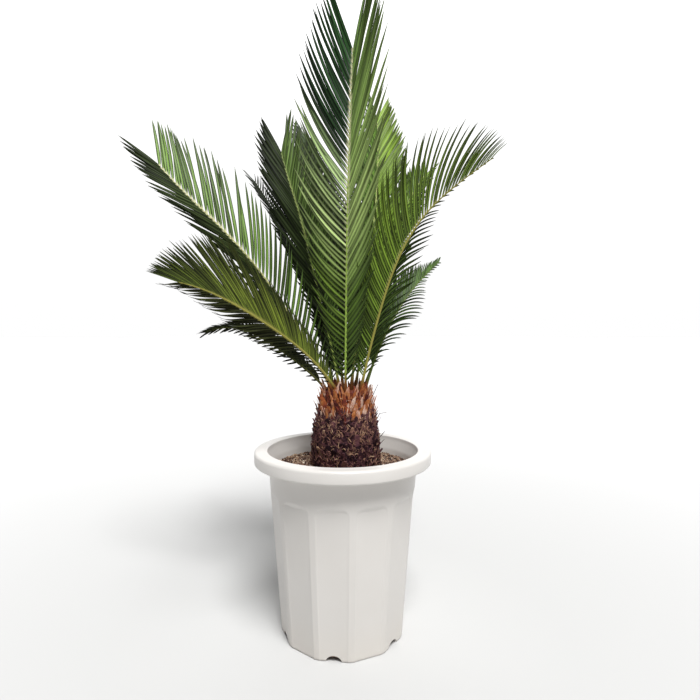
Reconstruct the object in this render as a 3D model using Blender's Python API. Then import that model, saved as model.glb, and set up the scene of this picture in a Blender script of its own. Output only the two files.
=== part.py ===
"""Potted sago palm (Cycas revoluta): a young plant with one knobbly trunk and eleven fronds,
standing in gritty soil in a tall white plastic pot with twelve flat sides under a broad rim.

Metres, +Z up. The origin is the middle of the pot's flat underside, and -Y is the front.
Angles round the pot are degrees from +X towards +Y, and leans are degrees from upright.
"""

import math

import bmesh
import bpy
import numpy as np

# Pot
POT_HEIGHT = 0.248
RIM_RADIUS = 0.120
RIM_DEPTH = 0.017
RIM_ROUNDING = 0.0035
OPENING_RADIUS = 0.1016
FOOT_RADIUS = 0.0838
BODY_TAPER = 0.075
WALL = 0.003
FLOOR = 0.004
PANELS = 12
PANEL_CORNER = 8.0
PANEL_RECESS = 0.976
PANEL_TOP = 0.196
SCOOP_DEPTH = 0.020
SCOOP_RISE = 0.03
NOTCHES = 6
NOTCH_HALF_WIDTH = 0.010
NOTCH_HEIGHT = 0.008
NOTCH_LENGTH = 0.034

# Soil: its level at the pot's wall, how much higher it stands at the trunk, and its unevenness
SEAT_GAP = 0.0003
WALL_PLAY = 0.0007
SOIL_LEVEL = 0.2225
SOIL_EDGE = 0.002
SOIL_RISE = 0.004
SOIL_WAVE = 0.0012
GRIT = 0.0012
SOIL_COLUMNS = 36
SOIL_RINGS = 5

# Trunk: its hole in the soil, and the scales that cover what stands above it
TRUNK_OFFSET = 0.004
TRUNK_FOOT = 0.176
FOOT_RADIUS_TRUNK = 0.0396
HOLE_RADIUS = 0.0443
NECK_RADIUS = 0.0433
NECK_HEIGHT = 0.2285
SCALES_LOW = 0.2305
TRUNK_TOP = 0.2955
TRUNK_PROFILE = ((0.225, 0.0452), (0.240, 0.0450), (0.262, 0.0437), (0.282, 0.0407), (0.2955, 0.0385))
SCALES_ROUND = 14
SCALE_ROWS = 9
SCALE_END = 0.66
SCALE_RELIEF = (0.0030, 0.0063)
SCALE_RAISED = (0.0005, 0.0030)

# Crown of cut leaf bases, on which the fronds stand
CROWN_TOP = 0.3278
CROWN_PROFILE = ((0.2958, 0.0385), (0.310, 0.0345), (0.3278, 0.0316))
BASES_ROUND = 13
BASE_ROWS = 5
BASE_END = 0.5
BASE_RELIEF = (0.0024, 0.0045)
BASE_RAISED = (0.0043, 0.0119)
BASE_LEAST = 0.001
STALK_CLEARANCE = 0.0065

# Fronds
BARE = 0.05
PETIOLE_HALF = (0.0033, 0.0029)
RIB_HALF_START = (0.0024, 0.0015)
RIB_HALF_END = (0.0010, 0.0007)
RIB_POINT = 0.006
PETIOLE_RINGS = 3
BLADE_HALF_THICK = 0.0005
BLADE_FILL = 0.38
DROOP = 4
TURN = (6, 6)
PLAIN_LEAFLET = 0.030
RIB_STEPS = 240
LONGEST_LEAFLET = 0.17


def row(length, spread, fold, droop=DROOP, turn=TURN):
    """One row of leaflets, each quantity read from the row's foot to its tip.

    Their lengths, their angles to the rib, how far they fold up out of its plane, how far they
    then droop, and how much further forward they point at their tips. Angles are in degrees.
    """
    return dict(length=length, spread=spread, fold=fold, droop=droop, turn=turn)


# Each frond: the bearing it leans to and its lean, at even steps along the rib, the rib's length,
# its seat on the crown (bearing, distance), how far it is rolled about its rib, the bare share of
# the rib below the leaflets, the pairs of leaflets, the colour, and the two rows. Left and right
# are as seen looking up the rib at its upper face.
FRONDS = {
    "frond_centre": dict(
        bearing=(75, 75), lean=(1, 2, 3, 6, 8, 8), length=0.475, seat=(270, 0.010),
        roll=(-6, -24), bare=BARE, pairs=42, colour="4F6A38",
        left=row((0.026, 0.082, 0.132, 0.168, 0.119), (58, 52, 34, 21), (25, 25), turn=(24, 24, 14, 4)),
        right=row((0.026, 0.082, 0.132, 0.168, 0.119), (56, 46, 30, 20), (25, 25), turn=(20, 16, 8, 4))),
    "frond_left_high": dict(
        bearing=(168, 168), lean=(27, 32, 36, 44, 47, 42), length=0.418, seat=(178, 0.019),
        roll=(-46, -50), bare=BARE, pairs=38, colour="5C7546",
        left=row((0.019, 0.083, 0.092, 0.078, 0.070), (46, 32, 30, 32, 18), (30, 24, 18), turn=(2, 2)),
        right=row((0.030, 0.085, 0.120, 0.126, 0.076), (50, 38, 32, 34), (30, 24, 18))),
    "frond_left_mid": dict(
        bearing=(214, 214), lean=(34, 46, 56, 60, 66, 80), length=0.250, seat=(225, 0.018),
        roll=(45, 50), bare=BARE, pairs=32, colour="5E6B2C",
        left=row((0.014, 0.050, 0.114, 0.086, 0.036), (50, 36, 26, 10), (30, 30, 22), droop=0),
        right=row((0.012, 0.052, 0.060, 0.048, 0.028), (50, 44, 34, 22), (20, 20, 10), droop=70)),
    "frond_right_arching": dict(
        bearing=(338, 345), lean=(12, 15, 19, 31, 51, 58), length=0.352, seat=(340, 0.022),
        roll=(-45, -45, -20, 10), bare=BARE, pairs=36, colour="566B33",
        left=row((0.024, 0.056, 0.056, 0.028, 0.014), (30, 28, 24, 12), (30, 30, 40),
                 droop=50, turn=(-20, -20)),
        right=row((0.018, 0.080, 0.112, 0.098, 0.024), (52, 46, 44, 26), (35, 38, 50),
                  droop=5, turn=(20, 26))),
    "frond_upper_left": dict(
        bearing=(130, 130), lean=(13, 22, 20, 22, 27, 23), length=0.388, seat=(165, 0.009),
        roll=(-35, -35), bare=BARE, pairs=36, colour="45583A",
        left=row((0.016, 0.050, 0.114, 0.107, 0.076), (48, 30, 18), (30, 30, 25)),
        right=row((0.021, 0.092, 0.122, 0.110, 0.080), (48, 32, 26), (30, 30, 25))),
    "frond_left_low": dict(
        bearing=(150, 150), lean=(47, 58, 62, 70, 89, 106), length=0.250, seat=(170, 0.028),
        roll=(-25, -32), bare=BARE, pairs=28, colour="3F4728",
        left=row((0.010, 0.020, 0.020, 0.015, 0.010), (46, 40, 30), (-40, -35, -10), droop=20),
        right=row((0.020, 0.040, 0.040, 0.032, 0.022), (34, 28, 22), (30, 38, 45), droop=30)),
    "frond_right_low": dict(
        bearing=(42, 42), lean=(24, 30, 36, 44, 53, 56), length=0.254, seat=(15, 0.027),
        roll=(25, 25), bare=0.28, pairs=24, colour="3F5A33",
        left=row((0.040, 0.064, 0.062, 0.038, 0.016), (36, 30, 18), (30, 30, 25), droop=10),
        right=row((0.034, 0.036, 0.032, 0.020, 0.010), (34, 34, 24), (20, 20, 15),
                  droop=20, turn=(-40, -40))),
    "frond_back_right": dict(
        bearing=(45, 95), lean=(8, 15, 20, 22, 20, 18), length=0.445, seat=(50, 0.012),
        roll=(20, 20), bare=BARE, pairs=36, colour="86A04C",
        left=row((0.040, 0.078, 0.100, 0.084, 0.050), (46, 34, 22), (30, 30, 25)),
        right=row((0.036, 0.078, 0.100, 0.084, 0.052), (46, 34, 28), (30, 30, 25))),
    "frond_back_centre": dict(
        bearing=(108, 108), lean=(12, 18, 24, 30, 34, 36), length=0.462, seat=(105, 0.017),
        roll=(0, 0), bare=BARE, pairs=34, colour="3C4731",
        left=row((0.048, 0.086, 0.105, 0.090, 0.058), (48, 36, 25), (24, 28, 24)),
        right=row((0.046, 0.082, 0.075, 0.038, 0.030), (48, 36, 25), (24, 28, 24))),
    "frond_right_back": dict(
        bearing=(50, 50), lean=(12, 20, 24, 30, 38, 46), length=0.392, seat=(55, 0.024),
        roll=(15, 15), bare=BARE, pairs=30, colour="6B8340",
        left=row((0.040, 0.062, 0.078, 0.068, 0.047), (48, 36, 25), (24, 24)),
        right=row((0.032, 0.059, 0.078, 0.060, 0.036), (48, 36, 25), (24, 24))),
    "frond_back_left": dict(
        bearing=(142, 142), lean=(12, 17, 24, 31, 37, 41), length=0.360, seat=(140, 0.022),
        roll=(0, 0), bare=BARE, pairs=28, colour="343F2B",
        left=row((0.014, 0.026, 0.050, 0.046, 0.029), (48, 38, 30), (20, 20), droop=10),
        right=row((0.034, 0.056, 0.057, 0.046, 0.029), (48, 38, 30), (20, 20), droop=10)),
}

# How a leaflet may be bent or shortened to pass other fronds, least change first, and the room
# that it needs: half its own width near its root and past its middle, and the rib's against its
# half width, with a gap between
BENDS = (0, 8, -8, 16, -16, 24, -24)
KEEPS = (1.0, 0.85, 0.7, 0.55, 0.42, 0.3, 0.2)
ROOT_REACH = 0.0030
BLADE_REACH = 0.0019
RIB_REACH = 1.15
CLEAR_GAP = 0.0010
CLEAR_STEPS = 40

SEED = 7


def linear(hex_colour):
    """An sRGB hex colour as linear red, green, blue and alpha."""
    parts = [int(hex_colour[i:i + 2], 16) / 255 for i in (0, 2, 4)]
    return [c / 12.92 if c <= 0.04045 else ((c + 0.055) / 1.055) ** 2.4 for c in parts] + [1.0]


def material(name, hex_colour, roughness):
    made = bpy.data.materials.new(name)
    made.use_nodes = True
    shader = made.node_tree.nodes["Principled BSDF"]
    shader.inputs["Base Color"].default_value = linear(hex_colour)
    shader.inputs["Roughness"].default_value = roughness
    shader.inputs["Metallic"].default_value = 0.0
    made.diffuse_color = linear(hex_colour)
    return made


def add_object(name, vertices, faces, finish, smooth_below=None):
    """An object from points and faces, its normals turned outward."""
    mesh = bpy.data.meshes.new(name)
    mesh.from_pydata([tuple(map(float, v)) for v in vertices], [], faces)
    shape = bmesh.new()
    shape.from_mesh(mesh)
    bmesh.ops.recalc_face_normals(shape, faces=shape.faces)
    shape.to_mesh(mesh)
    shape.free()
    if smooth_below is not None:
        mesh.shade_smooth()
        mesh.set_sharp_from_angle(angle=math.radians(smooth_below))
    mesh.materials.append(finish)
    made = bpy.data.objects.new(name, mesh)
    bpy.context.scene.collection.objects.link(made)
    return made


def loft(rings):
    """Points and faces of a closed solid through rings of equal count, with flat caps."""
    count = len(rings[0])
    vertices = [point for ring in rings for point in ring]
    faces = []
    for level in range(len(rings) - 1):
        for column in range(count):
            after = (column + 1) % count
            low = level * count
            high = low + count
            faces.append((low + column, low + after, high + after, high + column))
    faces.append(tuple(range(count)))
    faces.append(tuple(range((len(rings) - 1) * count, len(rings) * count)))
    return vertices, faces


def circle(radius, height, angles):
    return [(radius * math.cos(a), radius * math.sin(a), height) for a in angles]


# Pot: one moulding, a tapered round body cut by flats, with a broad rim rolled over its edge

def body_radius(z):
    return FOOT_RADIUS + BODY_TAPER * z


def panel_radius(z, from_middle):
    """The smaller of the round body and the flat, which scoops out to the body at its top."""
    scoop = max(0.0, (z - PANEL_TOP + SCOOP_DEPTH) / SCOOP_DEPTH)
    flat = body_radius(z) * PANEL_RECESS * (1 + SCOOP_RISE * scoop ** 2.5)
    return min(body_radius(z), flat / math.cos(from_middle))


def make_pot():
    sector = 2 * math.pi / PANELS
    strip = math.acos(PANEL_RECESS)
    steps = (-sector / 2, -strip, -0.62 * strip, 0.0, 0.62 * strip, strip)
    angles = []
    from_middle = []
    for panel in range(PANELS):
        middle = math.radians(PANEL_CORNER - 90) + (panel + 0.5) * sector
        angles += [middle + step for step in steps]
        from_middle += steps
    rings = []
    rim_low = POT_HEIGHT - RIM_DEPTH
    scoop = [PANEL_TOP - SCOOP_DEPTH * share for share in (1, 0.6, 0.3, 0)]
    for z in (0.0, *scoop, rim_low):
        rings.append([(panel_radius(z, m) * math.cos(a), panel_radius(z, m) * math.sin(a), z)
                      for a, m in zip(angles, from_middle)])
    turned = (
        (RIM_RADIUS - RIM_ROUNDING, rim_low),
        (RIM_RADIUS, rim_low + RIM_ROUNDING),
        (RIM_RADIUS, POT_HEIGHT - RIM_ROUNDING),
        (RIM_RADIUS - RIM_ROUNDING, POT_HEIGHT),
        (OPENING_RADIUS + RIM_ROUNDING, POT_HEIGHT),
        (OPENING_RADIUS, POT_HEIGHT - RIM_ROUNDING),
        (inner_radius(rim_low), rim_low),
        (inner_radius(FLOOR), FLOOR),
    )
    rings += [circle(radius, z, angles) for radius, z in turned]
    vertices, faces = loft(rings)
    pot = add_object("pot", vertices, faces, material("white_plastic", "E4E1DC", 0.38), 35)
    cut_notches(pot)
    return pot


def inner_radius(z):
    return body_radius(z) * PANEL_RECESS - WALL


def cut_notches(pot):
    """Drain notches, low half ellipses through the foot of every second panel."""
    for i in range(NOTCHES):
        turn = math.radians(PANEL_CORNER - 90 - 180 / PANELS) + i * 2 * math.pi / NOTCHES
        bpy.ops.mesh.primitive_cylinder_add(vertices=24, radius=NOTCH_HALF_WIDTH, depth=NOTCH_LENGTH)
        cutter = bpy.context.object
        cutter.name = f"notch_cutter_{i + 1}"
        cutter.rotation_euler = (0, math.radians(90), turn)
        cutter.scale = (NOTCH_HEIGHT / NOTCH_HALF_WIDTH, 1, 1)
        cutter.location = (FOOT_RADIUS * math.cos(turn), FOOT_RADIUS * math.sin(turn), 0)
        cutter.hide_render = True
        cutter.display_type = "WIRE"
        cut = pot.modifiers.new(cutter.name, "BOOLEAN")
        cut.operation = "DIFFERENCE"
        cut.solver = "EXACT"
        cut.object = cutter


# Soil: a plug of grit that fills the pot, its top a little heaped and rough, with a plain hole
# in which the foot of the trunk stands

def make_soil(rng):
    angles = [2 * math.pi * i / SOIL_COLUMNS for i in range(SOIL_COLUMNS)]
    low = FLOOR + SEAT_GAP
    high = SOIL_LEVEL - SOIL_EDGE
    outer = inner_radius(high) - WALL_PLAY
    rings = [circle(inner_radius(low) - WALL_PLAY, low, angles), circle(outer, high, angles)]
    for ring in range(SOIL_RINGS):
        share = (ring + 0.2) / (SOIL_RINGS - 0.8)
        radius = outer + (HOLE_RADIUS - outer) * share
        shift = TRUNK_OFFSET * share
        heap = SOIL_LEVEL + SOIL_RISE * share ** 1.5
        rings.append([(radius * math.cos(a) + shift, radius * math.sin(a),
                       heap + SOIL_WAVE * math.sin(3 * a + 5 * share) + rng.uniform(-GRIT, GRIT))
                      for a in angles])
    rings.append(trunk_ring(HOLE_RADIUS, TRUNK_FOOT - SEAT_GAP, SOIL_COLUMNS))
    vertices, faces = loft(rings)
    return add_object("soil", vertices, faces, material("gritty_soil", "8A7358", 0.95))


# Trunk and crown: stems covered with leaf bases in a diamond lattice, each one a raised stub

def trunk_ring(radius, z, columns, turned=0.0):
    """Points evenly round the trunk's axis, turned by a share of the step between them."""
    angles = [2 * math.pi * (column + turned) / columns for column in range(columns)]
    return [(radius * math.cos(a) + TRUNK_OFFSET, radius * math.sin(a), z) for a in angles]


def lattice(profile, columns, rows, end_size, lift, z_low, z_high):
    """Points and faces of a stem whose surface is a lattice of diamonds with a stub on each.

    profile holds (height, radius) pairs, end_size is a stub's end against its diamond, and lift
    gives, for the middle of a diamond and the way out there, the end's shift from that middle.
    The stem is left open at both ends.
    """
    vertices = []
    for row in range(rows + 1):
        z = z_low + (z_high - z_low) * row / rows
        radius = float(np.interp(z, *zip(*profile)))
        vertices += trunk_ring(radius, z, columns, turned=0.5 * (row % 2))

    def index(row, column):
        return row * columns + column % columns

    faces = []
    top_shift = rows % 2
    for column in range(columns):
        faces.append((index(0, column), index(0, column + 1), index(1, column)))
        faces.append((index(rows, column + 1), index(rows, column), index(rows - 1, column + top_shift)))
    for row in range(1, rows):
        for column in range(columns):
            beside = column + row % 2
            around = (index(row, column), index(row - 1, beside),
                      index(row, column + 1), index(row + 1, beside))
            corners = np.array([vertices[i] for i in around])
            middle = corners.mean(axis=0)
            outward = middle - (TRUNK_OFFSET, 0, middle[2])
            outward = outward / np.linalg.norm(outward)
            shift = lift(middle, outward)
            start = len(vertices)
            vertices += [middle + (corner - middle) * end_size + shift for corner in corners]
            for i in range(4):
                j = (i + 1) % 4
                faces.append((around[i], around[j], start + j, start + i))
            faces.append((start, start + 1, start + 2, start + 3))
    return vertices, faces


def make_trunk(rng):
    def lift(middle, outward):
        return outward * rng.uniform(*SCALE_RELIEF) + (0, 0, rng.uniform(*SCALE_RAISED))

    columns = SCALES_ROUND
    vertices, faces = lattice(TRUNK_PROFILE, columns, SCALE_ROWS, SCALE_END, lift, SCALES_LOW, TRUNK_TOP)
    neck = len(vertices)
    foot = neck + columns
    vertices += trunk_ring(NECK_RADIUS, NECK_HEIGHT, columns)
    vertices += trunk_ring(FOOT_RADIUS_TRUNK, TRUNK_FOOT, columns)
    for i in range(columns):
        j = (i + 1) % columns
        faces.append((neck + i, neck + j, j, i))
        faces.append((foot + i, foot + j, neck + j, neck + i))
    faces.append(tuple(range(foot, foot + columns)))
    faces.append(tuple(range(SCALE_ROWS * columns, (SCALE_ROWS + 1) * columns)))
    return add_object("trunk", vertices, faces, material("leaf_scars", "4A3A35", 0.9))


def make_leaf_bases(rng, stalks):
    """The crown: cut leaf bases that stand up round the stalks and stay clear of them."""
    def lift(middle, outward):
        relief = rng.uniform(*BASE_RELIEF)
        raised = rng.uniform(*BASE_RAISED)
        while raised > BASE_LEAST:
            end = middle + outward * relief + (0, 0, raised)
            above = end + (0, 0, BASE_RELIEF[0])
            if nearest(end, above, *stalks).min() > STALK_CLEARANCE:
                break
            raised *= 0.8
        return outward * relief + (0, 0, raised)

    columns = BASES_ROUND
    vertices, faces = lattice(CROWN_PROFILE, columns, BASE_ROWS, BASE_END, lift,
                              TRUNK_TOP + SEAT_GAP, CROWN_TOP)
    faces.append(tuple(range(columns)))
    faces.append(tuple(range(BASE_ROWS * columns, (BASE_ROWS + 1) * columns)))
    return add_object("leaf_bases", vertices, faces, material("cut_leaf_bases", "9A6038", 0.85))


# Fronds: a tapering rib with two rows of leaflets that grow out of its sides, cut down to the rib

def along(values, share):
    """A smooth curve through evenly spaced values, read at shares from 0 to 1 (Catmull-Rom)."""
    v = np.asarray(values, float)
    x = share * (len(v) - 1)
    i = np.clip(x.astype(int), 0, len(v) - 2)
    f = x - i
    p = np.concatenate([[2 * v[0] - v[1]], v, [2 * v[-1] - v[-2]]])
    a, b, c, d = p[i], p[i + 1], p[i + 2], p[i + 3]
    return 0.5 * (2 * b + (c - a) * f + (2 * a - 5 * b + 4 * c - d) * f ** 2
                  + (3 * b - a - 3 * c + d) * f ** 3)


def rib_frame(frond, shares):
    """Points on the rib and the directions along it, to its left row and out of its upper face.

    The rib starts on its seat and follows its lean and bearing; the frame is rolled about it.
    """
    fine = np.linspace(0, 1, RIB_STEPS + 1)
    lean = np.radians(along(frond["lean"], fine))
    bearing = np.radians(along(frond["bearing"], fine))
    roll = np.radians(along(frond["roll"], fine))[:, None]
    flat = np.zeros_like(fine)
    outward = np.stack([np.cos(bearing), np.sin(bearing), flat], 1)
    side = np.stack([-np.sin(bearing), np.cos(bearing), flat], 1)
    forward = np.sin(lean)[:, None] * outward + np.cos(lean)[:, None] * np.array((0, 0, 1.0))
    upper = np.cross(forward, side)
    side, upper = np.cos(roll) * side + np.sin(roll) * upper, np.cos(roll) * upper - np.sin(roll) * side
    step = frond["length"] / RIB_STEPS
    run = np.vstack([np.zeros(3), np.cumsum((forward[1:] + forward[:-1]) / 2 * step, axis=0)])
    turn, distance = math.radians(frond["seat"][0]), frond["seat"][1]
    seat = np.array((TRUNK_OFFSET + distance * math.cos(turn), distance * math.sin(turn),
                     CROWN_TOP + SEAT_GAP))

    def read(field):
        return np.stack([np.interp(shares, fine, field[:, k]) for k in range(3)], 1)

    return seat + read(run), read(forward), read(side), read(upper)


def half_width(frond, shares, direction=0):
    """Half the rib's width, or with direction 1 half its height, at shares of its length."""
    sizes = [half[direction] for half in (PETIOLE_HALF, RIB_HALF_START, RIB_HALF_END)]
    return np.interp(shares, (0, frond["bare"], 1), sizes)


def leaflet_lines(frond):
    """For both rows, each leaflet's root, middle and tip, and the rib's directions at the roots."""
    share = (np.arange(frond["pairs"]) + 0.5) / frond["pairs"]
    root, forward, side, upper = rib_frame(frond, frond["bare"] + (1 - frond["bare"]) * share)
    rows = []
    for leaflets, sign in ((frond["left"], 1), (frond["right"], -1)):
        keys = ("spread", "fold", "turn", "length")
        spread, fold, turn, reach = (along(leaflets[key], share) for key in keys)
        points = [root]
        for half in (0.25, 0.75):
            angle = np.radians(spread - turn * half)[:, None]
            up = np.radians(fold - 2 * leaflets["droop"] * half)[:, None]
            outward = np.cos(up) * sign * side + np.sin(up) * upper
            way = np.cos(angle) * forward + np.sin(angle) * outward
            points.append(points[-1] + way * (reach / 2)[:, None])
        rows.append(np.stack(points, 1))
    return rows, forward


def nearest(p1, q1, p2, q2):
    """The smallest distances between the segment p1-q1 and the segments p2-q2."""
    d1, d2, gap = q1 - p1, q2 - p2, p1 - p2
    a, e = d1 @ d1, (d2 * d2).sum(-1) + 1e-12
    b, c, f = d2 @ d1, gap @ d1, (d2 * gap).sum(-1)
    across = a * e - b * b
    safe = np.where(across > 1e-12, across, 1)
    s = np.where(across > 1e-12, np.clip((b * f - c * e) / safe, 0, 1), 0)
    t = np.clip((b * s + f) / e, 0, 1)
    s = np.clip((b * t - c) / a, 0, 1)
    return np.linalg.norm(gap + d1 * s[..., None] - d2 * t[..., None], axis=-1)


def bent(line, along_rib, bend, keep):
    """A leaflet shortened to a share of its length and bent out of its row's surface."""
    first = (line[1] - line[0]) * keep
    second = (line[2] - line[1]) * keep
    if bend:
        across = np.cross(along_rib, second)
        across /= np.linalg.norm(across)
        turn = math.radians(bend)
        second = second * math.cos(turn) + across * np.linalg.norm(second) * math.sin(turn)
    return np.array((line[0], line[0] + first, line[0] + first + second))


def clear_leaflets():
    """Every frond's leaflets, each bent or shortened where it would meet another frond."""
    shares = np.linspace(0, 1, CLEAR_STEPS)
    ribs = {name: rib_frame(frond, shares)[0] for name, frond in FRONDS.items()}
    rib_from = np.concatenate([rib[:-1] for rib in ribs.values()])
    rib_to = np.concatenate([rib[1:] for rib in ribs.values()])
    rib_owner = np.repeat(list(ribs), len(shares) - 1)
    rib_reach = np.concatenate([half_width(frond, shares[:-1]) * RIB_REACH for frond in FRONDS.values()])
    taken_from, taken_to, taken_reach = np.zeros((0, 3)), np.zeros((0, 3)), np.zeros(0)
    settled = {}
    for name, frond in FRONDS.items():
        others = rib_owner != name
        rows, forward = leaflet_lines(frond)
        kept_rows = []
        for row in rows:
            kept = []
            for line, along_rib in zip(row, forward):
                near = np.abs(taken_from - line[0]).max(1) < 2 * LONGEST_LEAFLET
                crowd = (taken_from[near], taken_to[near], taken_reach[near])
                stalks = (rib_from[others], rib_to[others], rib_reach[others])
                kept.append(fit(line, along_rib, stalks, crowd))
            kept_rows.append(kept)
        settled[name] = kept_rows
        lines = np.array([line for kept in kept_rows for line in kept if line is not None])
        taken_from = np.vstack([taken_from, lines[:, 0], lines[:, 1]])
        taken_to = np.vstack([taken_to, lines[:, 1], lines[:, 2]])
        reach = np.repeat((ROOT_REACH, BLADE_REACH), len(lines))
        taken_reach = np.concatenate([taken_reach, reach])
    return settled, (rib_from, rib_to)


def fit(line, along_rib, stalks, crowd):
    """The leaflet with the least change that passes the ribs and leaflets given, or None."""
    for keep in KEEPS:
        for bend in BENDS:
            trial = bent(line, along_rib, bend, keep)
            if all(passes(trial[i], trial[i + 1], reach, group)
                   for i, reach in enumerate((ROOT_REACH, BLADE_REACH)) for group in (stalks, crowd)):
                return trial
    return None


def passes(p, q, reach, group):
    """Whether the segment p-q, this thick, stays clear of every segment of the group."""
    return bool((nearest(p, q, group[0], group[1]) > group[2] + reach + CLEAR_GAP).all())


def make_frond(name, frond, rows):
    """One closed body: the rib's side faces are drawn out into the leaflets of both rows."""
    pairs = frond["pairs"]
    shares = np.concatenate([np.linspace(0, frond["bare"], PETIOLE_RINGS, endpoint=False),
                             np.linspace(frond["bare"], 1, pairs + 1)])
    centre, forward, side, upper = rib_frame(frond, shares)
    half_wide, half_high = half_width(frond, shares), half_width(frond, shares, 1)
    corners = ((1, 1), (-1, 1), (-1, -1), (1, -1))
    vertices = []
    for i in range(len(shares)):
        for across, up in corners:
            vertices.append(centre[i] + across * half_wide[i] * side[i] + up * half_high[i] * upper[i])
    for i in range(4):
        back = (vertices[i][2] - centre[0][2]) / forward[0][2]
        vertices[i] = vertices[i] - forward[0] * back
    faces = [(0, 1, 2, 3)]
    rings = len(shares)
    for ring in range(rings - 1):
        a, b = 4 * ring, 4 * ring + 4
        faces += strip(a, a + 1, b, b + 1)
        faces += strip(a + 2, a + 3, b + 2, b + 3)
        pair = ring - PETIOLE_RINGS
        for row, (top, low) in enumerate(((0, 3), (1, 2))):
            line = rows[row][pair] if pair >= 0 else None
            if line is None:
                faces += strip(a + top, a + low, b + top, b + low)
                continue
            pitch = frond["length"] * (1 - frond["bare"]) / pairs
            add_leaflet(vertices, faces, line, forward[ring], pitch, (a + top, a + low, b + low, b + top))
    end = 4 * (rings - 1)
    vertices.append(centre[-1] + forward[-1] * RIB_POINT)
    for i in range(4):
        faces.append((end + i, end + (i + 1) % 4, len(vertices) - 1))
    finish = material(name.replace("frond", "leaf"), frond["colour"], 0.45)
    return add_object(name, vertices, faces, finish)


def strip(a, b, c, d):
    """Two triangles over the corners a, b of one ring and c, d of the next."""
    return [(a, b, d), (a, d, c)]


def add_leaflet(vertices, faces, line, along_rib, pitch, root):
    """Draws a leaflet from the four corners of its root through its widest place to its point."""
    start, middle, tip = line
    way = (middle - start) / np.linalg.norm(middle - start)
    broad = along_rib - way * (along_rib @ way)
    sine = np.linalg.norm(broad)
    broad /= sine
    thin = np.cross(way, broad)
    top_edge = vertices[root[0]] - vertices[root[1]]
    if thin @ top_edge < 0:
        thin = -thin
    point = len(vertices)
    vertices.append(tip)
    if np.linalg.norm(tip - start) < PLAIN_LEAFLET:
        for i in range(4):
            faces.append((root[i], root[(i + 1) % 4], point))
        return
    half = BLADE_FILL * pitch * sine
    for across, up in ((-1, 1), (-1, -1), (1, -1), (1, 1)):
        vertices.append(middle + across * half * broad + up * BLADE_HALF_THICK * thin)
    ring = [point + 1 + i for i in range(4)]
    for i, j in ((0, 1), (1, 2), (2, 3), (3, 0)):
        mirrored = (i, j) == (1, 2)
        a, b = (root[j], root[i]) if mirrored else (root[i], root[j])
        c, d = (ring[j], ring[i]) if mirrored else (ring[i], ring[j])
        faces.extend([(a, b, c), (b, d, c)])
        faces.append((ring[i], ring[j], point))


def main():
    for old in list(bpy.data.objects):
        bpy.data.objects.remove(old, do_unlink=True)
    rng = np.random.default_rng(SEED)
    leaflets, ribs = clear_leaflets()
    make_pot()
    make_soil(rng)
    make_trunk(rng)
    make_leaf_bases(rng, ribs)
    for name, frond in FRONDS.items():
        make_frond(name, frond, leaflets[name])


main()
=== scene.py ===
"""Looks of the potted sago palm: its pot, soil, trunk, crown and eleven fronds.

Metres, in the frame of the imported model: the origin is the middle of the pot's underside, +Z is
up and -Y is the front. Each section makes one piece of the object, with its material.
"""

import math

import bpy
import numpy as np
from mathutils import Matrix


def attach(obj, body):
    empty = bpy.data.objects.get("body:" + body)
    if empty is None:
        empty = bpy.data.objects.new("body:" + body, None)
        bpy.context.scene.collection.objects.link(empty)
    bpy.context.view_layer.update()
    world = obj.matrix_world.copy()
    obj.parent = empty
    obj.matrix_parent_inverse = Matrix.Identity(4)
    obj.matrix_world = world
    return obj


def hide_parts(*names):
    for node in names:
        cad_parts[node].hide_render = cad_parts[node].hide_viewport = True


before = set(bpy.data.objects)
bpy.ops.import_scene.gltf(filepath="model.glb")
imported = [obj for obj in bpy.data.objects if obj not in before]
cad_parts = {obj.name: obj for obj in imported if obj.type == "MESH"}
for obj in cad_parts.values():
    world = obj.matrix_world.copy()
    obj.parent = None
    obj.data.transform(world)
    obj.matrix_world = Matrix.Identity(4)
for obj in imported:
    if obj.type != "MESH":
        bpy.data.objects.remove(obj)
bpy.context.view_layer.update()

# Pot. A tall nursery pot, injection moulded in warm white polypropylene as one piece: a tapered
# round wall with twelve flats sunk into it, each ending in a blunt arch below a plain band, a
# broad rim that is hollow below, and six low half-ellipse drain notches at the foot.

POT_HEIGHT = 0.248
RIM_RADIUS = 0.120
RIM_LOW = 0.231
RIM_HOLLOW = 0.004
OPENING_RADIUS = 0.1016
FOOT_RADIUS = 0.0838
WIDENING = 0.075
WALL = 0.003
INNER_SHARE = 0.976
FLOOR = 0.004
PANELS = 12
PANEL_CORNER = math.radians(8.0 - 90)
PANEL_RECESS = 0.9735
PANEL_HALF = math.radians(12.5)
PANEL_TOP = 0.198
ARCH_HEIGHT = 0.016
ARCH_POWER = 3.5
EDGE_SLOPE = 0.080
ARCH_SLOPE = 0.45
POT_COLUMNS = 720
NOTCHES = 6
NOTCH_HALF = (0.0100, 0.0080)
NOTCH_LENGTH = 0.034
NOTCH_SIDES = 32


def linear(code):
    """An sRGB hex colour as linear red, green, blue and alpha."""
    srgb = np.array([int(code[i:i + 2], 16) / 255 for i in (0, 2, 4)])
    rgb = np.where(srgb <= 0.04045, srgb / 12.92, ((srgb + 0.055) / 1.055) ** 2.4)
    return (*(float(c) for c in rgb), 1.0)


def node(tree, kind, settings=None):
    """Adds a node. A setting is one of its properties, or a socket's value, hex colour or link."""
    made = tree.nodes.new(kind)
    for name, value in (settings or {}).items():
        if isinstance(name, str) and hasattr(made, name):
            setattr(made, name, value)
        elif isinstance(value, bpy.types.NodeSocket):
            tree.links.new(value, made.inputs[name])
        else:
            made.inputs[name].default_value = linear(value) if isinstance(value, str) else value
    return made


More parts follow.
